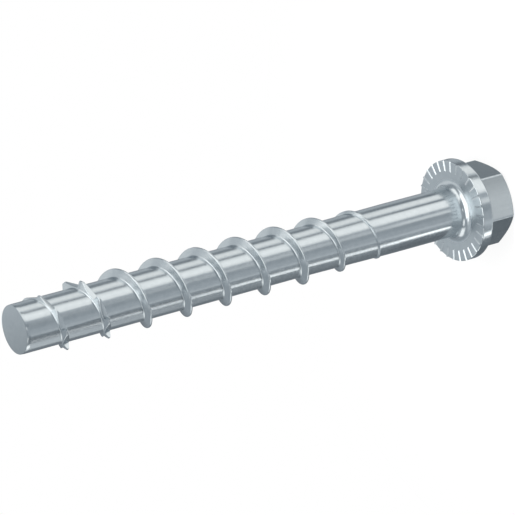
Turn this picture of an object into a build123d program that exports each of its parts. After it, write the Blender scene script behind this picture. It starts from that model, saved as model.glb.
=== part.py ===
from build123d import *
import os
from math import atan, ceil, degrees, pi, radians, sin, tan

# Concrete screw with a hex washer head, a toothed coarse thread and a flat tip.
# It is one cold-formed piece. It stands on the flat top of its head, so +Z runs
# along the axis from the head to the tip, and the origin is the middle of that flat.
# Two hex corners lie on the X axis. All sizes are in millimetres.

# Overall
length_under_head = 100.0
head_height = 9.7

# Hex
hex_across_flats = 15.0
hex_chamfer_angle = 30.0
hex_face_diameter = 14.3

# Flange, measured down from its bearing face
flange_diameter = 20.5
flange_rim = 2.35
flange_back_angle = 20.0
rim_bevel = 0.3

# Bearing face: a shallow dish round the neck, then a ring of radial ribs
neck_fillet = 1.7
dish_depth = 0.2
rib_ring_diameter = 16.0
rib_count = 30
rib_height = 0.2
rib_width = 0.5
rib_crest = 0.12
rib_phase = 1.0
rib_sink = 0.3

# Shank and core
shank_diameter = 9.9
core_diameter = 9.4
tip_face_diameter = 9.3
tip_taper = 0.7

# Thread: a rolled ridge with a narrow crest, right-handed
thread_diameter = 12.4
thread_pitch = 8.86
thread_angle_at_bearing = 82.3
crest_width = 0.37
flank_angle = 20.0
root_flare = 0.12
root_flare_angle = 55.0
ridge_sink = 0.3

# The ridge rises out of the core behind the tip and sinks again towards the head
thread_start_from_tip = 3.0
run_in_length = 6.5
smooth_shank = 17.0
run_out_length = 19.5
ridge_lead = 0.5
ridge_tail = 2.0
sections_per_turn = 12

# Cutting teeth: notches across the crest, each as deep as leaves a low ridge on the core
teeth_per_turn = 8
notch_count = 15
first_notch_from_tip = 5.26
notch_floor_height = 0.35
tooth_crest_angle = 8.0
notch_reach = 2.0

# Derived heights and radii
bearing_z = head_height
tip_z = bearing_z + length_under_head
flange_radius = flange_diameter / 2
shank_radius = shank_diameter / 2
core_radius = core_diameter / 2
thread_radius = thread_diameter / 2
thread_height = thread_radius - core_radius
rib_ring_radius = rib_ring_diameter / 2
ridge_top_z = tip_z - thread_start_from_tip
ridge_full_top_z = ridge_top_z - run_in_length
ridge_bottom_z = bearing_z + smooth_shank
ridge_full_bottom_z = ridge_bottom_z + run_out_length


def thread_angle(z):
    """Angle of the thread's crest round the axis, in degrees, at a height."""
    return thread_angle_at_bearing + 360 * (z - bearing_z) / thread_pitch


def crest_radius(z):
    """Radius of the crest at a height: full between the run-in and the run-out."""
    if z > ridge_full_top_z:
        rise = (ridge_top_z - z) / run_in_length
        return core_radius + thread_height * sin(rise * pi / 2)
    if z < ridge_full_bottom_z:
        rise = (z - ridge_bottom_z) / run_out_length
        return shank_radius + (thread_radius - shank_radius) * rise
    return thread_radius


# Turned body: flange, neck, smooth shank, run-out cone, core and tip
with BuildPart() as body:
    with BuildSketch(Plane.XZ) as profile:
        with BuildLine():
            rim_back_z = bearing_z - flange_rim
            back_z = rim_back_z - (flange_radius - shank_radius) * tan(radians(flange_back_angle))
            neck_top = (shank_radius, bearing_z - dish_depth + neck_fillet)
            neck_foot = (shank_radius + neck_fillet, bearing_z - dish_depth)
            Polyline(
                neck_foot,
                (rib_ring_radius, bearing_z),
                (flange_radius, bearing_z),
                (flange_radius, rim_back_z),
                (shank_radius, back_z),
                (0, back_z),
                (0, tip_z),
                (tip_face_diameter / 2, tip_z),
                (core_radius, tip_z - tip_taper),
                (core_radius, ridge_full_bottom_z),
                (shank_radius, ridge_bottom_z),
                neck_top,
            )
            RadiusArc(neck_top, neck_foot, neck_fillet)
        make_face()
        rim_back = profile.vertices().group_by(Axis.X)[-1].sort_by(Axis.Y)[0]
        chamfer(rim_back, rim_bevel)
    revolve(axis=Axis.Z)

# Hex head: a prism whose end is turned off at the chamfer angle
with BuildPart() as head:
    with BuildSketch():
        RegularPolygon(hex_across_flats / 2, 6, major_radius=False)
    extrude(amount=rim_back_z)
    with BuildSketch(Plane.XZ):
        outside = hex_across_flats
        face_radius = hex_face_diameter / 2
        Polygon(
            (0, 0),
            (face_radius, 0),
            (outside, (outside - face_radius) * tan(radians(hex_chamfer_angle))),
            (outside, rim_back_z + outside),
            (0, rim_back_z + outside),
            align=None,
        )
    revolve(axis=Axis.Z, mode=Mode.INTERSECT)

# Radial ribs that grip the base, with sloped sides and inner ends, trimmed to the rim
with BuildPart() as ribs:
    with BuildSketch(Plane.XY.offset(bearing_z)) as footprint:
        with Locations((rib_ring_radius, 0)):
            Rectangle(flange_radius, rib_width, align=(Align.MIN, Align.CENTER))
    rib_slope = degrees(atan((rib_width - rib_crest) / 2 / rib_height))
    rib_root = extrude(amount=-rib_sink, mode=Mode.PRIVATE)
    rib_top = extrude(footprint.sketch, amount=rib_height, taper=rib_slope, mode=Mode.PRIVATE)
    with PolarLocations(0, rib_count, start_angle=rib_phase):
        add(rib_top)
        add(rib_root)
    with BuildSketch(Plane.XY.offset(bearing_z - rib_sink)):
        Circle(flange_radius)
    extrude(amount=rib_sink + rib_height, mode=Mode.INTERSECT)

# Thread ridge: one profile carried round the core, moved out and in with the crest
flank_drop = thread_height - root_flare
flank_half = crest_width / 2 + flank_drop * tan(radians(flank_angle))
foot_drop = thread_height + ridge_sink
foot_half = flank_half + (foot_drop - flank_drop) * tan(radians(root_flare_angle))
ridge_end_z = ridge_top_z + ridge_lead
turn_count = ceil((ridge_end_z - ridge_bottom_z + ridge_tail) / thread_pitch)

# Each notch has a flat that climbs from its floor to the crest of the next tooth
flat_angle = 360 / teeth_per_turn - tooth_crest_angle
outer_reach = 2 * thread_radius

with BuildPart() as thread:
    for turn in range(turn_count):
        for step in range(sections_per_turn + 1):
            z = ridge_end_z - (turn + step / sections_per_turn) * thread_pitch
            radial = Vector(1, 0, 0).rotate(Axis.Z, thread_angle(z))
            section_plane = Plane(
                origin=radial * crest_radius(z) + Vector(0, 0, z),
                x_dir=radial,
                z_dir=radial.cross(Vector(0, 0, 1)),
            )
            with BuildSketch(section_plane):
                Polygon(
                    (0, -crest_width / 2),
                    (0, crest_width / 2),
                    (-flank_drop, flank_half),
                    (-foot_drop, foot_half),
                    (-foot_drop, -foot_half),
                    (-flank_drop, -flank_half),
                    align=None,
                )
        loft()

    for notch in range(notch_count):
        z = tip_z - first_notch_from_tip - notch * thread_pitch / teeth_per_turn
        floor = Vector(core_radius + notch_floor_height, 0)
        flat_top = crest_radius(z + thread_pitch * flat_angle / 360)
        flat_end = Vector(flat_top, 0).rotate(Axis.Z, flat_angle)
        with BuildSketch(Plane.XY.offset(z - notch_reach).rotated((0, 0, thread_angle(z)))):
            Polygon(floor, Vector(outer_reach, 0), flat_end * 2 - floor, align=None)
        extrude(amount=2 * notch_reach, mode=Mode.SUBTRACT)

with BuildPart() as concrete_screw:
    add(body.part)
    add(head.part)
    add(ribs.part)
    add(thread.part)

concrete_screw.part.label = "concrete_screw"

os.makedirs("parts", exist_ok=True)
export_step(concrete_screw.part, "parts/concrete_screw.step")
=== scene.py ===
# %% [markdown]
# # A toothed concrete screw in plated steel
#
# The real screw is one piece of steel wire. Its hex washer head is upset cold, its thread is
# rolled, the first turns of the thread are notched into cutting teeth, and the whole is then
# hardened and zinc plated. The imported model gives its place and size, and this script makes
# the skin that is seen: rounded thread crests, rounded hex edges, ribs under the head, and
# the plating. The first cell loads the fixed frame and keeps its box for later.

# %% Load the frame
from math import atan2, ceil, cos, degrees, hypot, pi, radians, sin, tan

import bmesh
import bpy
from mathutils import Matrix, Vector


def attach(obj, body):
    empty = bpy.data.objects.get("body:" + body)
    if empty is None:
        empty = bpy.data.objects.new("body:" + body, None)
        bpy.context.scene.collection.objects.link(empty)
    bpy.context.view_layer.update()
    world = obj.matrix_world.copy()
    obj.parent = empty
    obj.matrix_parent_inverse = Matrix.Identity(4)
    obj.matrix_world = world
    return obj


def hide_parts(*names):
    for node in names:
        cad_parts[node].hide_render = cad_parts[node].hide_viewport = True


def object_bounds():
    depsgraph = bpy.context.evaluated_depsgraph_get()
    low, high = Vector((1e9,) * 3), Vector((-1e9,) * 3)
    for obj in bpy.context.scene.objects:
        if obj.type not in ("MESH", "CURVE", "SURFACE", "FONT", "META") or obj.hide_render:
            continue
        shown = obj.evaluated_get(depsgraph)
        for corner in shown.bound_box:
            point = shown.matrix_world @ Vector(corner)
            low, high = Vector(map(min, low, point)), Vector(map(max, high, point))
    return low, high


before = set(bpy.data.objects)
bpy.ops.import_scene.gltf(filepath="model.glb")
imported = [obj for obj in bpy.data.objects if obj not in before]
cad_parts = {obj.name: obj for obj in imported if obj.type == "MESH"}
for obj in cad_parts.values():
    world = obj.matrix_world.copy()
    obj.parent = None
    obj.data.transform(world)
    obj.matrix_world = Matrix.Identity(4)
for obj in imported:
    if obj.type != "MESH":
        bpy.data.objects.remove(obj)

NODE = "concrete_screw"
cad_low, cad_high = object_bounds()
print("CAD box in mm:", [round(1000 * v, 2) for v in (*cad_low, *cad_high)])

# %% [markdown]
# ## Sizes
#
# A screw is easiest to think of in millimetres, so every size is written in them and the
# finished mesh is scaled to metres once, at the end. Heights run from the flat top of the
# head, on which the screw stands, up to the tip. The overall height comes from the frame, and
# the other sizes are those of the real screw. Two points closer than the weld distance count
# as one.

# %% Sizes in millimetres
MM = 0.001
weld_distance = 0.001

tip_z = cad_high.z / MM
bearing_z = 9.7
flange_radius = 10.25
flange_rim = 2.35
flange_back_angle = 20.0

hex_across_flats = 15.0
hex_face_radius = 7.15
hex_chamfer_angle = 30.0

neck_fillet = 1.7
dish_depth = 0.2
rib_ring_radius = 8.0

shank_radius = 4.95
core_radius = 4.7
tip_face_radius = 4.65
tip_taper = 0.7

rim_back_z = bearing_z - flange_rim
taper_z = tip_z - tip_taper
print("screw length under the head:", round(tip_z - bearing_z, 2), "mm")

# %% [markdown]
# ## The thread as a rule
#
# The thread is a ridge that climbs the core once every pitch. Two small functions say all
# there is to know about it: how thick the steel under it is, and how far out its crest
# stands. The crest rises out of the core behind the tip, stays full, and then sinks into the
# slightly thicker shank. A few named lengths set where that happens.

# %% Thread sizes
thread_radius = 6.2
thread_pitch = 8.86
thread_angle_at_bearing = 82.3
crest_half = 0.185
flank_angle = 20.0
root_flare = 0.08
root_flare_angle = 55.0

thread_start_from_tip = 3.0
run_in_length = 6.5
smooth_shank = 17.0
run_out_length = 19.5

thread_height = thread_radius - core_radius
ridge_top_z = tip_z - thread_start_from_tip
ridge_full_top_z = ridge_top_z - run_in_length
ridge_bottom_z = bearing_z + smooth_shank
ridge_full_bottom_z = ridge_bottom_z + run_out_length
print(f"the thread runs from {ridge_bottom_z:.1f} to {ridge_top_z:.1f} mm")

# %% [markdown]
# Both radii depend on the height alone, so that the same rule can move any point of the mesh
# later. The crest sinks evenly into the shank, but at the tip it rises as a sine does, steep
# at first and level at the end.

# %% The radius between the turns and the radius of the crest


def base_radius(z):
    """Radius of the steel between the turns: the shank, a long cone, then the core."""
    share = (z - ridge_bottom_z) / run_out_length
    share = min(max(share, 0.0), 1.0)
    return shank_radius + (core_radius - shank_radius) * share


def crest_radius(z):
    """Radius of the crest, never under the steel that it grows from."""
    radius = thread_radius
    if z > ridge_full_top_z:
        rise = (ridge_top_z - z) / run_in_length
        radius = core_radius + thread_height * sin(max(rise, 0.0) * pi / 2)
    if z < ridge_full_bottom_z:
        rise = (z - ridge_bottom_z) / run_out_length
        radius = shank_radius + (thread_radius - shank_radius) * rise
    return max(radius, base_radius(z))


for z in (30, 60, 104):
    print(f"at {z} mm the core is {base_radius(z):.2f} and the crest {crest_radius(z):.2f}")

# %% [markdown]
# ## Cutting teeth
#
# The first two turns carry teeth, eight to a turn. Each is a notch across the crest: a wall
# straight down to a low ridge, then a flat that climbs back to full height, with a short
# stretch of whole crest before the next wall. Seen from above a flat is a straight line, so
# its radius at an angle follows from the line through its two ends.

# %% Tooth sizes and the line of a flat
teeth_per_turn = 8
notch_count = 15
first_notch_from_tip = 5.26
notch_floor_height = 0.35
tooth_crest_angle = 8.0

notch_floor_radius = core_radius + notch_floor_height
flat_angle = 360 / teeth_per_turn - tooth_crest_angle
notch_rise = thread_pitch / teeth_per_turn
lowest_notch_z = tip_z - first_notch_from_tip - (notch_count - 1) * notch_rise


def flat_radius(angle, end_radius):
    """Radius of a notch's flat, an angle in degrees after its wall."""
    along = Vector((cos(radians(flat_angle)), sin(radians(flat_angle)))) * end_radius
    along -= Vector((notch_floor_radius, 0))
    facing = cos(radians(angle)) * along.y - sin(radians(angle)) * along.x
    return notch_floor_radius * along.y / facing if facing > 0 else 2 * thread_radius


print("flat radii:", [round(flat_radius(a, thread_radius), 2) for a in (0, 18, flat_angle)])

# %% [markdown]
# ## One profile, spun up the screw
#
# A thread could be swept along a curve, but a sweep tends to twist. Spinning a flat profile
# about the axis and lifting it a little at each step is exact, and the profile can be drawn
# one pitch long, so that each turn's end lies on the next turn's start. Its corners are
# rounded while it is still a wire, because a vertex bevel there is carried along the whole
# thread for nothing.

# %% Tools for a wire


def draw_wire(bm, points):
    """Joins points given as radius and height with edges, in the plane of X and Z."""
    verts = [bm.verts.new((x, 0, z)) for x, z in points]
    for first, second in zip(verts, verts[1:]):
        bm.edges.new((first, second))
    return verts


def round_corners(bm, verts, size, segments):
    """Rounds corners of a wire."""
    bmesh.ops.bevel(bm, geom=verts, offset=size, offset_type="OFFSET", segments=segments,
                    profile=0.5, affect="VERTICES", material=-1)


print("wire tools ready")

# %% [markdown]
# The rolled crest is well rounded, and the root only a little. Half of the profile is written
# down, and the other half is its mirror image.

# %% Draw the profile and round its corners
crest_round = 0.11
root_round = 0.05

flank_half = crest_half + (thread_height - root_flare) * tan(radians(flank_angle))
foot_half = flank_half + root_flare * tan(radians(root_flare_angle))
half_profile = [
    (thread_radius, crest_half),
    (core_radius + root_flare, flank_half),
    (core_radius, foot_half),
    (core_radius, thread_pitch / 2),
]

screw = bmesh.new()
corners = draw_wire(screw, [(x, -z) for x, z in reversed(half_profile)] + half_profile)
crest_corners = [v for v in corners if v.co.x > thread_radius - weld_distance]
root_corners = [v for v in corners[1:-1] if v not in crest_corners]
round_corners(screw, root_corners, root_round, 2)
round_corners(screw, crest_corners, crest_round, 4)
print("profile points:", len(screw.verts))

# %% [markdown]
# The steps of the spin are chosen so that every eighteenth one falls on the wall of a tooth.
# The profile starts in the XZ plane, so it is first turned and lifted to the thread's own
# start, which lies whole turns below the lowest notch and past the joint with the head.

# %% Spin the profile
steps_per_turn = 144
steps_per_tooth = steps_per_turn // teeth_per_turn
step_angle = 360 / steps_per_turn
step_rise = thread_pitch / steps_per_turn
joint_below_thread = 1.0
joint_z = ridge_bottom_z - joint_below_thread
turns_below = ceil((lowest_notch_z - joint_z) / thread_pitch + 0.5)
start_z = lowest_notch_z - turns_below * thread_pitch
turn_count = ceil((tip_z - start_z) / thread_pitch + 0.5)


def thread_angle(z):
    """Angle of the crest round the axis, in degrees, at a height."""
    return thread_angle_at_bearing + 360 * (z - bearing_z) / thread_pitch


start_turn = Matrix.Rotation(radians(thread_angle(start_z)), 4, "Z")
start = Matrix.Translation((0, 0, start_z)) @ start_turn
bmesh.ops.transform(screw, matrix=start, verts=screw.verts)
bmesh.ops.spin(screw, geom=screw.verts[:] + screw.edges[:], cent=(0, 0, 0), axis=(0, 0, 1),
               dvec=(0, 0, step_rise), angle=2 * pi * turn_count,
               steps=steps_per_turn * turn_count, use_merge=False)
bmesh.ops.remove_doubles(screw, verts=screw.verts, dist=weld_distance)
print("turns:", turn_count, "points:", len(screw.verts))

# %% [markdown]
# ## Shape the ridge
#
# The spun ridge is as high at both ends as in the middle, and it has no teeth. Both are put
# right by moving its points, each of which knows its own turn from its angle. Two functions
# answer what a point has to know: how high up the screw its turn's crest is, and whether a
# notch cuts that crest.

# %% What a point of the ridge has to know
notched_steps = notch_count * steps_per_tooth


def crest_height_at(point):
    """Height of the crest of the turn that a point of the spun ridge belongs to."""
    angle = degrees(atan2(point.y, point.x))
    height = bearing_z + (angle - thread_angle_at_bearing) / 360 * thread_pitch
    return height + round((point.z - height) / thread_pitch) * thread_pitch


def notch_radius(step):
    """Radius that a notch leaves at a step of the spin, or None outside the teeth."""
    if not 0 <= step < notched_steps:
        return None
    angle = step % steps_per_tooth * step_angle
    flat_end_z = lowest_notch_z + (step // steps_per_tooth * steps_per_tooth) * step_rise
    flat_end_z += thread_pitch * flat_angle / 360
    return flat_radius(angle, crest_radius(flat_end_z))


print("lowest notch:", [round(notch_radius(step), 2) for step in range(0, steps_per_tooth, 6)])

# %% [markdown]
# Where the crest is lower the whole ridge shrinks evenly, so its flanks keep their slope. In
# a notch only the crest's points come down, and they slide down the flanks, so the flat comes
# out as wide as the ridge is there. The step before each wall is moved up to it, which makes
# the wall steep.

# %% Move the points of the ridge
wall_angle = 0.15
crest_reach = 0.15
flank_slope = tan(radians(flank_angle))

for vert in screw.verts:
    radius = hypot(vert.co.x, vert.co.y)
    crest_z = crest_height_at(vert.co)
    aside = vert.co.z - crest_z
    side = 1 if aside > 0 else -1
    step = round((crest_z - lowest_notch_z) / step_rise)
    before_wall = (step + 1) % steps_per_tooth == 0 and 0 <= step + 1 < notched_steps
    shift = 1 - wall_angle / step_angle if before_wall else 0.0
    turn_by = radians(shift * step_angle)
    crest_z += shift * step_rise
    full = crest_radius(crest_z)
    size = (full - base_radius(crest_z)) / thread_height
    if abs(aside) < thread_pitch / 4:
        aside = side * (crest_half + (abs(aside) - crest_half) * size)
    new_radius = base_radius(crest_z + aside) + (radius - core_radius) * size
    cut = None if before_wall else notch_radius(step)
    if cut is not None and cut < full and radius > thread_radius - crest_reach:
        new_radius -= full - cut
        aside += side * (full - cut) * flank_slope
    angle = atan2(vert.co.y, vert.co.x) + turn_by
    vert.co = (new_radius * cos(angle), new_radius * sin(angle), crest_z + aside)
bmesh.ops.remove_doubles(screw, verts=screw.verts, dist=2 * weld_distance)
print("points after shaping:", len(screw.verts))

# %% [markdown]
# ## Cut the ends square and close the tip
#
# The spun skin runs past both ends. A plane cuts it off at the taper behind the tip and at a
# joint on the smooth shank, and each cut leaves an open ring of edges.

# %% Cut with planes


def open_ring(bm, z):
    """The open edges that lie at a height."""
    return [
        e for e in bm.edges
        if e.is_boundary and all(abs(v.co.z - z) < weld_distance for v in e.verts)
    ]


for z, up in ((taper_z, 1), (joint_z, -1)):
    bmesh.ops.bisect_plane(screw, geom=screw.verts[:] + screw.edges[:] + screw.faces[:],
                           plane_co=(0, 0, z), plane_no=(0, 0, up), clear_outer=True)
print("edges at the taper:", len(open_ring(screw, taper_z)),
      "at the joint:", len(open_ring(screw, joint_z)))

# %% [markdown]
# The tip is made by drawing the upper ring out in short extrusions: one for the taper and two
# for the small round that shearing and plating leave on the edge. One face closes the last
# ring.

# %% Extrude the tip
tip_round = 0.06


def draw_ring(bm, edges, radius, z):
    """Extrudes a ring of edges to a new radius and height, and returns the new ring."""
    made = bmesh.ops.extrude_edge_only(bm, edges=edges)["geom"]
    for vert in (v for v in made if isinstance(v, bmesh.types.BMVert)):
        flat = Vector((vert.co.x, vert.co.y, 0)).normalized() * radius
        vert.co = (flat.x, flat.y, z)
    return [e for e in made if isinstance(e, bmesh.types.BMEdge)]


ring = draw_ring(screw, open_ring(screw, taper_z), tip_face_radius, tip_z - tip_round)
for share in (0.5, 1.0):
    inward = tip_round * (1 - cos(share * pi / 2))
    upward = tip_round * sin(share * pi / 2)
    ring = draw_ring(screw, ring, tip_face_radius - inward, tip_z - tip_round + upward)
bmesh.ops.contextual_create(screw, geom=ring)
print("ring at the tip:", len(ring), "edges")

# %% [markdown]
# ## Head, flange and neck
#
# All of this is round except the hex, so it is one more wire, spun a full turn. The fillet at
# the neck and the small rounds at both corners of the rim are vertex bevels again. Two rings
# of the wire stand in for the hex until the next cell.

# %% Spin the head
rim_front_round = 0.2
rim_back_round = 0.3
joint_gap = 0.5

hex_corner_radius = hex_across_flats / 2 / cos(radians(30))
dish_z = bearing_z - dish_depth
head_joint_z = joint_z - joint_gap
hex_top_mark = rim_back_z - 1.0
hex_foot_mark = 1.0

head = bmesh.new()
corners = draw_wire(head, [
    (shank_radius, head_joint_z),
    (shank_radius, dish_z),
    (rib_ring_radius, bearing_z),
    (flange_radius, bearing_z),
    (flange_radius, rim_back_z),
    (hex_corner_radius, hex_top_mark),
    (hex_corner_radius, hex_foot_mark),
    (hex_face_radius, 0),
])
round_corners(head, [corners[1]], neck_fillet, 12)
round_corners(head, [corners[3]], rim_front_round, 3)
round_corners(head, [corners[4]], rim_back_round, 4)
bmesh.ops.spin(head, geom=head.verts[:] + head.edges[:], cent=(0, 0, 0), axis=(0, 0, 1),
               angle=2 * pi, steps=steps_per_turn, use_merge=True)
bmesh.ops.remove_doubles(head, verts=head.verts, dist=weld_distance)
print("head points:", len(head.verts))

# %% [markdown]
# The points of the two rings are now slid in to the six flats, the upper ring on to the cone
# of the flange's back and the lower ring on to the turned chamfer. That gives the true curved
# lines where a cone meets a flat, without any cutting.

# %% Slide two rings on to the hex
back_slope = tan(radians(flange_back_angle))
chamfer_slope = tan(radians(hex_chamfer_angle))


def hex_radius(point):
    """Radius of the hex in the direction of a point, with two corners on the X axis."""
    from_flat = degrees(atan2(point.y, point.x)) % 60 - 30
    return hex_across_flats / 2 / cos(radians(from_flat))


slid = 0
for vert in head.verts:
    radius = hypot(vert.co.x, vert.co.y)
    if abs(radius - hex_corner_radius) > weld_distance:
        continue
    wanted = hex_radius(vert.co)
    if abs(vert.co.z - hex_top_mark) < weld_distance:
        z = rim_back_z - (flange_radius - wanted) * back_slope
    else:
        z = (wanted - hex_face_radius) * chamfer_slope
    vert.co = (vert.co.x * wanted / radius, vert.co.y * wanted / radius, z)
    slid += 1
print("points slid on to the hex:", slid)

# %% [markdown]
# A forged hex has no knife edges. Its six corners and the edge of its chamfer are rounded
# with an edge bevel, and these are the thin bright lines that show between the flats.

# %% Close the face of the head and round the hex
hex_round = 0.2
hex_edge_bend = 25.0

face_ring = open_ring(head, 0)
bmesh.ops.contextual_create(head, geom=face_ring)
bmesh.ops.recalc_face_normals(head, faces=head.faces)
hex_edges = [
    e for e in head.edges
    if len(e.link_faces) == 2 and e.calc_face_angle() > radians(hex_edge_bend)
    and max(v.co.z for v in e.verts) < rim_back_z - hex_round and e.is_convex
]
bmesh.ops.bevel(head, geom=hex_edges, offset=hex_round, offset_type="OFFSET", segments=3,
                profile=0.5, affect="EDGES", clamp_overlap=True, material=-1)
print("rounded hex edges:", len(hex_edges))

# %% [markdown]
# ## Join head and thread
#
# Both halves end in a ring on the smooth shank, half a millimetre apart. The rings have
# slightly different counts of points, because the cut crossed a few of the thread's own
# lines, and a bridge takes care of that.

# %% Bridge the two halves
head_mesh = bpy.data.meshes.new("head_half")
head.to_mesh(head_mesh)
head.free()
screw.from_mesh(head_mesh)
bpy.data.meshes.remove(head_mesh)
bmesh.ops.bridge_loops(screw, edges=open_ring(screw, joint_z) + open_ring(screw, head_joint_z))
bmesh.ops.recalc_face_normals(screw, faces=screw.faces)
open_edges = [e for e in screw.edges if not e.is_manifold]
print("open edges:", len(open_edges), "faces:", len(screw.faces))

# %% [markdown]
# ## Ribs under the head
#
# Thirty small ribs lie round the bearing face and bite when the screw is driven home. One is
# made from a cube that is narrowed at its top and drawn down into the flange. They end a hair
# short of the rim, because two faces in one plane upset a boolean.

# %% Shape one rib
rib_height = 0.2
rib_width = 0.5
rib_crest = 0.12
rib_sink = 0.3
rib_gap_at_rim = 0.02
rib_end_radius = flange_radius - rib_gap_at_rim


def points_of(geom):
    """The points among what an operator made."""
    return [v for v in geom if isinstance(v, bmesh.types.BMVert)]


ribs = bmesh.new()
for vert in bmesh.ops.create_cube(ribs, size=1.0)["verts"]:
    top = vert.co.z > 0
    half_width = (rib_crest if top else rib_width) / 2
    inner_x = rib_ring_radius + (rib_width - rib_crest) / 2 * top
    vert.co.x = rib_end_radius if vert.co.x > 0 else inner_x
    vert.co.y = half_width if vert.co.y > 0 else -half_width
    vert.co.z = bearing_z + (rib_height if top else 0.0)
foot = [f for f in ribs.faces if all(abs(v.co.z - bearing_z) < weld_distance for v in f.verts)]
sunk = bmesh.ops.extrude_face_region(ribs, geom=foot)["geom"]
bmesh.ops.translate(ribs, vec=(0, 0, -rib_sink), verts=points_of(sunk))
bmesh.ops.delete(ribs, geom=foot, context="FACES")
print("faces of one rib:", len(ribs.faces))

# %% [markdown]
# Copies of the rib are turned round the axis, and the whole ring is then turned by a degree,
# to where the ribs stand in the photograph.

# %% Turn copies round the axis
rib_count = 30
rib_phase = 1.0

one_rib = ribs.verts[:] + ribs.edges[:] + ribs.faces[:]
for number in range(1, rib_count):
    copy = bmesh.ops.duplicate(ribs, geom=one_rib)["geom"]
    turned = Matrix.Rotation(2 * pi * number / rib_count, 3, "Z")
    bmesh.ops.rotate(ribs, cent=(0, 0, 0), matrix=turned, verts=points_of(copy))
phase = Matrix.Rotation(radians(rib_phase), 3, "Z")
bmesh.ops.rotate(ribs, cent=(0, 0, 0), matrix=phase, verts=ribs.verts)
bmesh.ops.recalc_face_normals(ribs, faces=ribs.faces)
print("ribs:", rib_count, "faces:", len(ribs.faces))

# %% [markdown]
# A boolean union joins the ribs to the head, so the skin stays one closed shell as in the
# real forging. Its result is applied at once, and the ring of loose ribs is thrown away.

# %% Join the ribs to the head


def as_object(bm, name):
    """Turns a bmesh into an object in the scene."""
    mesh = bpy.data.meshes.new(name)
    bm.to_mesh(mesh)
    bm.free()
    made = bpy.data.objects.new(name, mesh)
    bpy.context.scene.collection.objects.link(made)
    return made


piece = as_object(screw, "plated_screw")
rib_ring = as_object(ribs, "rib_ring")
union = piece.modifiers.new("join ribs", "BOOLEAN")
union.operation = "UNION"
union.solver = "EXACT"
union.object = rib_ring
bpy.context.view_layer.update()
finished = piece.evaluated_get(bpy.context.evaluated_depsgraph_get())
joined = bpy.data.meshes.new_from_object(finished)
piece.modifiers.clear()
piece.data = joined
bpy.data.objects.remove(rib_ring)
print("faces with the ribs:", len(joined.polygons))

# %% [markdown]
# ## Shading
#
# The skin is smooth except where two faces meet at a real corner. Edges that bend more than
# the angle below are marked sharp, and so is the ring where the taper behind the tip starts.
# A weighted normal modifier keeps the wide flats flat while the narrow bevels carry the whole
# bend, which is what makes them glint.

# %% Scale to metres and set the shading
sharp_angle = 38.0
ring_reach = 0.01

skin = bmesh.new()
skin.from_mesh(piece.data)
bmesh.ops.remove_doubles(skin, verts=skin.verts, dist=weld_distance / 2)
bmesh.ops.scale(skin, vec=(MM, MM, MM), verts=skin.verts)
for face in skin.faces:
    face.smooth = True
for edge in skin.edges:
    bend = edge.calc_face_angle(0)
    on_taper_ring = all(abs(v.co.z / MM - taper_z) < ring_reach for v in edge.verts)
    edge.smooth = bend < radians(sharp_angle) and not on_taper_ring
open_edges = [e for e in skin.edges if not e.is_manifold]
volume = skin.calc_volume() / MM**3
print("faces:", len(skin.faces), "open edges:", len(open_edges), "volume mm3:", round(volume))
skin.to_mesh(piece.data)
skin.free()
weighted = piece.modifiers.new("flat flats", "WEIGHTED_NORMAL")
weighted.keep_sharp = True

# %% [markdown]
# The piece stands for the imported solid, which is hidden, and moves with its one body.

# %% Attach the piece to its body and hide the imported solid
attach(piece, "root")
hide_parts(NODE)
print("piece:", piece.name, "in place of:", NODE)

# %% [markdown]
# ## Tools for materials
#
# A material is a tree of nodes, and in a script most of the work is adding nodes and wiring
# them. These helpers take either a number or another node's output for each value, so that a
# formula can be written in one line. Two more mix a pair of colours or of shaders.

# %% Helpers that add nodes


def put(tree, socket, value):
    """Links an output to a socket, or sets the socket to a plain value."""
    if isinstance(value, bpy.types.NodeSocket):
        tree.links.new(value, socket)
    else:
        socket.default_value = value


def add_node(tree, kind, **inputs):
    """Adds a node and sets or links its inputs by name."""
    node = tree.nodes.new(kind)
    for name, value in inputs.items():
        put(tree, node.inputs[name], value)
    return node


def maths(tree, operation, *values):
    """Adds a maths node and returns its result."""
    node = tree.nodes.new("ShaderNodeMath")
    node.operation = operation
    for socket, value in zip(node.inputs, values):
        put(tree, socket, value)
    return node.outputs[0]


def vector_maths(tree, operation, first, second=(0, 0, 0)):
    """Adds a vector maths node and returns its result, a vector or a number."""
    node = tree.nodes.new("ShaderNodeVectorMath")
    node.operation = operation
    put(tree, node.inputs[0], first)
    put(tree, node.inputs[1], second)
    return next(socket for socket in node.outputs if socket.enabled)


def map_range(tree, value, low, high, to_low, to_high, kind="SMOOTHSTEP"):
    """Adds a map range node and returns its result."""
    node = add_node(tree, "ShaderNodeMapRange", Value=value)
    node.interpolation_type = kind
    names = ("From Min", "From Max", "To Min", "To Max")
    for name, number in zip(names, (low, high, to_low, to_high)):
        node.inputs[name].default_value = number
    return node.outputs["Result"]


print("node helpers ready")

# %% Helpers that mix


def mix_colours(tree, share, first, second):
    """Mixes two colours and returns the result."""
    node = tree.nodes.new("ShaderNodeMix")
    node.data_type = "RGBA"
    for name, value in zip(("Factor", "A", "B"), (share, first, second)):
        put(tree, node.inputs[name], value)
    return node.outputs["Result"]


def mix_shaders(tree, share, first, second):
    """Mixes two shaders and returns the result."""
    node = tree.nodes.new("ShaderNodeMixShader")
    for socket, value in zip(node.inputs, (share, first, second)):
        put(tree, socket, value)
    return node.outputs[0]


print("mixing helpers ready")

# %% [markdown]
# ## Zinc plating
#
# Bright zinc on cold-drawn steel is a bluish grey metal. Up close it has fine lines: along
# the shank from the wire's drawing, and across the flanks and the bearing face from rolling
# and forging. All of these run along the lines of equal angle round the axis, so one noise
# that is read by angle alone draws them everywhere. A second noise gives the plating's own
# soft mottle in colour and gloss, and a third a very fine grain.

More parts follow.
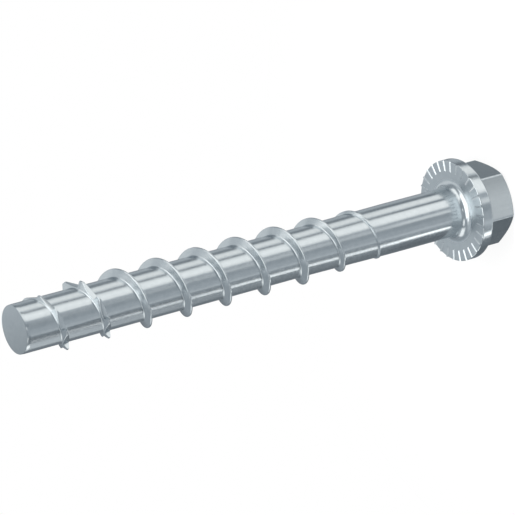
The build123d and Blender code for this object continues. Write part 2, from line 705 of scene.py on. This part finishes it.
# %% Places and noises
plating = bpy.data.materials.new("bright zinc")
plating.use_nodes = True
zinc_nodes = plating.node_tree
shader = zinc_nodes.nodes["Principled BSDF"]
place = zinc_nodes.nodes.new("ShaderNodeTexCoord").outputs["Object"]
level_place = vector_maths(zinc_nodes, "MULTIPLY", place, (1, 1, 0))
around = vector_maths(zinc_nodes, "NORMALIZE", level_place)
off_axis = vector_maths(zinc_nodes, "LENGTH", level_place)
apart = add_node(zinc_nodes, "ShaderNodeSeparateXYZ", Vector=place)
across = apart.outputs["X"]
up_the_screw = apart.outputs["Z"]


def noise(vector, scale, detail, roughness):
    """A noise read at a place."""
    node = add_node(zinc_nodes, "ShaderNodeTexNoise", Vector=vector, Scale=scale, Detail=detail,
                    Roughness=roughness)
    return node.outputs["Fac"]


drawn = noise(around, scale=22.0, detail=4.0, roughness=0.6)
mottle = noise(place, scale=900.0, detail=5.0, roughness=0.7)
grain = noise(place, scale=6000.0, detail=2.0, roughness=0.5)
print("material:", plating.name)

# %% [markdown]
# Zones of the screw are told apart by their height and by their distance from the axis. Each
# zone is a number from nought to one that fades over a short way, so that no hard line shows
# in the metal.

# %% Two ways to make a zone


def fade(value, first, last, at_first=0.0, at_last=1.0, kind="SMOOTHSTEP"):
    """Goes from one number to another between two sizes in millimetres."""
    return map_range(zinc_nodes, value, first * MM, last * MM, at_first, at_last, kind)


def between(value, low, high, soft):
    """One between two sizes in millimetres, fading to nought over a soft edge."""
    rise = fade(value, low - soft, low)
    return maths(zinc_nodes, "MULTIPLY", rise, fade(value, high, high + soft, 1.0, 0.0))


print("zone helpers ready")

# %% [markdown]
# The sheared face of the tip and the flats of the hex are painted darker towards one side.
# This is painted shade, which stands in for the gradient that reflection gives these flat
# faces. The rounded corners of the hex keep their full brightness. Two numbers across the
# screw set the painted shade.

# %% Colour of the zinc, with painted shade
zinc_dark = (0.48, 0.525, 0.555, 1)
zinc_light = (0.62, 0.66, 0.685, 1)
# A dark tone mixed into the colour as painted shade on the tip face and the hex flats.
painted_shade_colour = (0.0, 0.02, 0.03, 1)
most_painted_shade_on_tip = 0.30
painted_shade_across_hex = (0.1, 0.36)
hex_dark_side = 4.2
sheared_heights = (tip_z - 0.12, tip_z - 0.04)
hex_upper_end = (rim_back_z - 0.6, rim_back_z - 0.3)
hex_corner_edge = (8.49, 8.54)

# Painted shade: the tip face and the hex flats darken towards one side in the colour itself.
on_tip = fade(up_the_screw, *sheared_heights)
tip_painted_shade = fade(across, tip_face_radius, -tip_face_radius, 0.0, most_painted_shade_on_tip, "LINEAR")
under_rim = fade(up_the_screw, *hex_upper_end, 1.0, 0.0)
on_flats = maths(zinc_nodes, "MULTIPLY", under_rim, fade(off_axis, *hex_corner_edge, 1.0, 0.0))
hex_painted_shade = fade(across, 0.0, hex_dark_side, *painted_shade_across_hex, "LINEAR")
painted_shade = maths(zinc_nodes, "MULTIPLY", on_flats, hex_painted_shade)
painted_shade = maths(zinc_nodes, "MULTIPLY_ADD", on_tip, tip_painted_shade, painted_shade)

full_zinc = mix_colours(zinc_nodes, mottle, zinc_dark, zinc_light)
zinc_with_painted_shade = mix_colours(zinc_nodes, painted_shade, full_zinc, painted_shade_colour)
put(zinc_nodes, shader.inputs["Base Color"], zinc_with_painted_shade)
shader.inputs["Metallic"].default_value = 1.0
print("zinc from", zinc_dark[:3], "to", zinc_light[:3])

# %% [markdown]
# The gloss differs by how the steel was worked. The drawn shank is the smoothest, the neck is
# hardly duller, and the rolled thread and the forged hex a little more. The bearing face is
# much the dullest, because the ribs are pressed into it. The drawing lines and the mottle
# change the gloss a little everywhere. Every zone adds its own amount to one number.

# %% Gloss by zone
shank_roughness = 0.09
thread_roughness = 0.135
forged_roughness = 0.05
neck_roughness = 0.02
line_roughness = 0.08
mottle_roughness = 0.08
bearing_times_forged = 3.2

hex_heights = (-1.0, rim_back_z - 0.4)
bearing_heights = (bearing_z - 0.25, bearing_z + 0.3)
bearing_radii = (6.6, flange_radius - 0.2)
neck_heights = (bearing_z, bearing_z + 2.5)
rolling_starts = (ridge_bottom_z - 4.0, ridge_bottom_z + 6.0)

on_hex = between(up_the_screw, *hex_heights, 0.2)
on_ribs = maths(zinc_nodes, "MULTIPLY", between(up_the_screw, *bearing_heights, 0.1),
                between(off_axis, *bearing_radii, 0.15))
forged = maths(zinc_nodes, "MULTIPLY_ADD", on_ribs, bearing_times_forged, on_hex)
on_neck = between(up_the_screw, *neck_heights, 0.8)
roughness = fade(up_the_screw, *rolling_starts, shank_roughness, thread_roughness)
for zone, amount in (
    (drawn, line_roughness),
    (forged, forged_roughness),
    (on_neck, neck_roughness),
    (mottle, mottle_roughness),
):
    roughness = maths(zinc_nodes, "MULTIPLY_ADD", zone, amount, roughness)
put(zinc_nodes, shader.inputs["Roughness"], roughness)
print("least roughness of the shank:", shank_roughness, "and of the thread:", thread_roughness)

# %% [markdown]
# The drawing lines and the grain are also felt as relief, a few hundredths of a millimetre
# high. That is far too fine for the mesh, so it is a bump. The lines are the larger share.

# %% Relief, and put the plating on the screw
bump_height = 0.03
bump_strength = 0.25
line_share = 0.7
grain_share = 0.3

fine_grain = maths(zinc_nodes, "MULTIPLY", grain, grain_share)
relief = maths(zinc_nodes, "MULTIPLY_ADD", drawn, line_share, fine_grain)
bump = add_node(zinc_nodes, "ShaderNodeBump", Strength=bump_strength, Distance=bump_height * MM,
                Height=relief)
put(zinc_nodes, shader.inputs["Normal"], bump.outputs["Normal"])
piece.data.materials.clear()
piece.data.materials.append(plating)
print("nodes in the plating:", len(zinc_nodes.nodes))

# %% [markdown]
# ## The studio
#
# Bare metal shows little of its own colour: it shows what stands round it. A photographer
# hangs white and black cards so that a round shank gets long clean streaks, and the world
# here does the same. Each card is a window of directions with a brightness, and it is laid
# over what is already there. The world starts as a dim room with a paler dome above the
# horizon.

# %% The empty room
room_brightness = 0.26
dome_brightness = 0.45
horizon_blend = 12.0

world = bpy.data.worlds.new("cards")
bpy.context.scene.world = world
world.use_nodes = True
room_nodes = world.node_tree
room_nodes.nodes.clear()
looking = room_nodes.nodes.new("ShaderNodeTexCoord").outputs["Generated"]
height = add_node(room_nodes, "ShaderNodeSeparateXYZ", Vector=looking).outputs["Z"]
level_looking = vector_maths(room_nodes, "MULTIPLY", looking, (1, 1, 0))
level_way = vector_maths(room_nodes, "NORMALIZE", level_looking)


def rising(first, last, at_first=0.0, at_last=1.0):
    """Goes from one number to another between two heights over the horizon, in degrees."""
    first_height = sin(radians(first))
    last_height = sin(radians(last))
    return map_range(room_nodes, height, first_height, last_height, at_first, at_last)


seen_by_metal = rising(-horizon_blend, horizon_blend, room_brightness, dome_brightness)
print("brightness of room and dome:", room_brightness, dome_brightness)

# %% [markdown]
# A card's azimuth is counted from the camera's side, and positive azimuths light the side of
# the screw that is uppermost in the picture. A point whose skin faces an azimuth reflects
# twice that azimuth. The camera looks down on the head more steeply than on the tip, so the
# side of the screw reflects 35 degrees under the horizon at the head and 26 at the tip. A card
# that fades between those heights makes a streak that changes along the screw.

# %% One card
camera_side = -91.4


def window(azimuth, half_width, soft):
    """One inside a width round an azimuth, in degrees, and nought outside it."""
    middle = (cos(radians(azimuth)), sin(radians(azimuth)), 0)
    facing = vector_maths(room_nodes, "DOT_PRODUCT", level_way, middle)
    outer = cos(radians(half_width + soft))
    inner = cos(radians(half_width))
    return map_range(room_nodes, facing, outer, inner, 0, 1)


def hang_card(below, azimuth, half_width, soft, bottom, top, brightness):
    """Lays one card over what is there. One with a half width of 180 goes all the way round."""
    shares = []
    if half_width < 180:
        shares.append(window(camera_side + azimuth, half_width, soft))
    if bottom:
        shares.append(rising(*bottom))
    if top:
        shares.append(maths(room_nodes, "SUBTRACT", 1.0, rising(*top)))
    share = shares[0]
    for other in shares[1:]:
        share = maths(room_nodes, "MULTIPLY", share, other)
    change = maths(room_nodes, "SUBTRACT", brightness, below)
    return maths(room_nodes, "MULTIPLY_ADD", share, change, below)


print("camera side at", camera_side, "degrees")

# %% [markdown]
# The cards under the horizon make the long streaks of the shank, the core and the hex. Each
# row gives the azimuth, half the width, the width of the soft edge, the two heights between
# which the bottom edge fades in, the two between which the top edge fades out, and the
# brightness. None means that the card has no such edge.

# %% Cards under the horizon
streak_cards = (
    (0, 180, 0, None, (-60, -42), 0.55),
    (-20, 42, 8, None, (-12, 12), 0.56),
    (-8, 8, 8, None, (-12, 12), 0.47),
    (-128, 14, 10, None, (-33, -28), 0.20),
    (-48, 3, 4, None, (-12, 12), 0.76),
    (-69, 15, 4, (-34, -30.5), (-12, 12), 0.23),
    (-105, 18, 3, (-30.3, -27), (-12, 12), 0.84),
    (-75.5, 3, 3, None, (-33.3, -31.5), 2.8),
    (-80, 3, 3, (-33.3, -31.5), (-30.6, -28.3), 3.4),
    (2, 5, 5, (-34, -28), (-12, 12), 0.36),
    (3, 3, 5, None, (-33, -27), 1.1),
    (40, 15, 5, None, (-12, 12), 1.36),
    (86, 9, 12, None, (-12, 12), 1.20),
    (138, 10, 12, None, (-12, 12), 0.55),
    (-100, 7, 4, (-23, -19), (-12, 12), 1.7),
    (-58, 12, 6, (-23, -19), (-12, 12), 0.24),
)
for card in streak_cards:
    seen_by_metal = hang_card(seen_by_metal, *card)
print("cards under the horizon:", len(streak_cards))

# %% [markdown]
# The fillet of the neck bends upwards and so sweeps the whole sky. The first four cards here
# are its small lights. The next four are the sky that the bearing face, the flat tip and the
# flanks of the thread reflect. The last two are one large soft light over the head: it makes
# the bright crescent on the neck and lights the sloped sides of some of the ribs.

# %% Cards above the horizon
sky_cards = (
    (66, 26, 8, (-6, -1), (24, 32), 1.5),
    (-8, 3, 3, (-6, -1), (10, 16), 1.4),
    (-112, 16, 10, (-10, -2), (20, 32), 1.5),
    (-62, 10, 6, (-6, -1), (10, 16), 1.7),
    (0, 180, 0, (45, 52), None, 0.68),
    (150, 12, 14, (-2, 8), (50, 57), 0.88),
    (176, 12, 14, (16, 24), (40, 48), 0.66),
    (172, 14, 12, (70, 75), None, 1.2),
    (6, 52, 10, (33, 42), None, 2.9),
    (8, 90, 12, (48, 58), None, 2.0),
)
for card in sky_cards:
    seen_by_metal = hang_card(seen_by_metal, *card)
print("cards above the horizon:", len(sky_cards))

# %% [markdown]
# Dim parts of the room are a little blue and bright cards are neutral, as in the photograph.
# The camera itself sees plain white.

# %% Colour of the room and the white backdrop
dim_colour = (0.888, 1.0, 1.093, 1)
bright_colour = (1.0, 1.0, 0.98, 1)
dim_to_bright = (0.2, 1.2)

warmth = map_range(room_nodes, seen_by_metal, *dim_to_bright, 0, 1, "LINEAR")
card_colour = mix_colours(room_nodes, warmth, dim_colour, bright_colour)
cards = add_node(room_nodes, "ShaderNodeBackground", Color=card_colour, Strength=seen_by_metal)
backdrop = add_node(room_nodes, "ShaderNodeBackground", Color=(1, 1, 1, 1), Strength=1.0)
seen_by_camera = room_nodes.nodes.new("ShaderNodeLightPath").outputs["Is Camera Ray"]
room = mix_shaders(room_nodes, seen_by_camera, cards.outputs[0], backdrop.outputs[0])
world_out = room_nodes.nodes.new("ShaderNodeOutputWorld")
put(room_nodes, world_out.inputs["Surface"], room)
print("nodes in the room:", len(room_nodes.nodes))

# %% [markdown]
# ## Floor and lamp
#
# The screw stands on white paper. A disc is enough for it, and this one is so large that its
# edge is never in the picture.

# %% The disc
floor_radius = 3.0

floor_mesh = bpy.data.meshes.new("floor")
disc = bmesh.new()
bmesh.ops.create_circle(disc, cap_ends=True, segments=96, radius=floor_radius)
disc.to_mesh(floor_mesh)
disc.free()
floor = bpy.data.objects.new("floor", floor_mesh)
bpy.context.scene.collection.objects.link(floor)
print("floor radius:", floor_radius, "m")

# %% [markdown]
# Near the screw a tenth of the paper is ordinary matt white, which takes the soft shadow, and
# further out all of it is plain white, so that no horizon shows. Reflections pass through the
# paper to the cards.

# %% White paper
paper_colour = (0.9, 0.9, 0.9, 1)
plain_from = 0.01
all_plain_from = 0.08
plain_share = 0.9

paper = bpy.data.materials.new("white paper")
paper.use_nodes = True
paper_nodes = paper.node_tree
paper_nodes.nodes.clear()
floor_place = paper_nodes.nodes.new("ShaderNodeTexCoord").outputs["Object"]
distance = vector_maths(paper_nodes, "LENGTH", floor_place)
matt = add_node(paper_nodes, "ShaderNodeBsdfDiffuse", Color=paper_colour)
plain = add_node(paper_nodes, "ShaderNodeEmission", Color=(1, 1, 1, 1), Strength=1.0)
clear = paper_nodes.nodes.new("ShaderNodeBsdfTransparent")
light_path = paper_nodes.nodes.new("ShaderNodeLightPath")
away = map_range(paper_nodes, distance, plain_from, all_plain_from, plain_share, 1.0)
white = maths(paper_nodes, "MULTIPLY", away, light_path.outputs["Is Camera Ray"])
top = mix_shaders(paper_nodes, white, matt.outputs[0], plain.outputs[0])
surface = mix_shaders(paper_nodes, light_path.outputs["Is Glossy Ray"], top, clear.outputs[0])
paper_out = paper_nodes.nodes.new("ShaderNodeOutputMaterial")
put(paper_nodes, paper_out.inputs["Surface"], surface)
floor_mesh.materials.append(paper)
print("nodes in the paper:", len(paper_nodes.nodes))

# %% [markdown]
# One large weak lamp softens the shadow on the floor. It doesn't show in the metal, which
# takes all its light from the cards.

# %% Lamp
lamp_place = Vector((0.15, -0.2, 0.7))

lamp_data = bpy.data.lights.new("soft lamp", "AREA")
lamp_data.shape = "DISK"
lamp_data.size = 0.5
lamp_data.energy = 3.0
lamp = bpy.data.objects.new("soft lamp", lamp_data)
lamp.location = lamp_place
lamp.rotation_euler = (-lamp_place).to_track_quat("-Z", "Y").to_euler()
lamp.visible_glossy = False
bpy.context.scene.collection.objects.link(lamp)
print("lamp:", lamp_data.energy, "W at", round(lamp_place.length, 2), "m")

# %% [markdown]
# ## Camera
#
# The photograph looks along the screw from above the tip, through a long lens, with the
# camera rolled so that the screw runs across the picture. The place, aim, roll and lens were
# found by fitting the outline of the screw.

# %% Camera
camera_place = Vector((-11.842, -484.884, 348.349)) * MM
camera_aim = Vector((1.153, -0.031, 56.032)) * MM
camera_roll = -105.144
camera_lens = 207.646

forward = (camera_aim - camera_place).normalized()
level_right = forward.cross(Vector((0, 0, 1))).normalized()
level_up = level_right.cross(forward)
right = level_right * cos(radians(camera_roll)) + level_up * sin(radians(camera_roll))
up = right.cross(forward)
camera_data = bpy.data.cameras.new("camera")
camera_data.sensor_width = 36.0
camera_data.lens = camera_lens
camera_data.clip_start = 0.01
camera_data.clip_end = 10.0
camera = bpy.data.objects.new("camera", camera_data)
turn = Matrix((right, up, -forward)).transposed().to_4x4()
camera.matrix_world = Matrix.Translation(camera_place) @ turn
bpy.context.scene.collection.objects.link(camera)
bpy.context.scene.camera = camera
bpy.context.scene.view_settings.view_transform = "Standard"
print("lens:", camera_lens, "mm, distance:", round((camera_aim - camera_place).length, 3), "m")
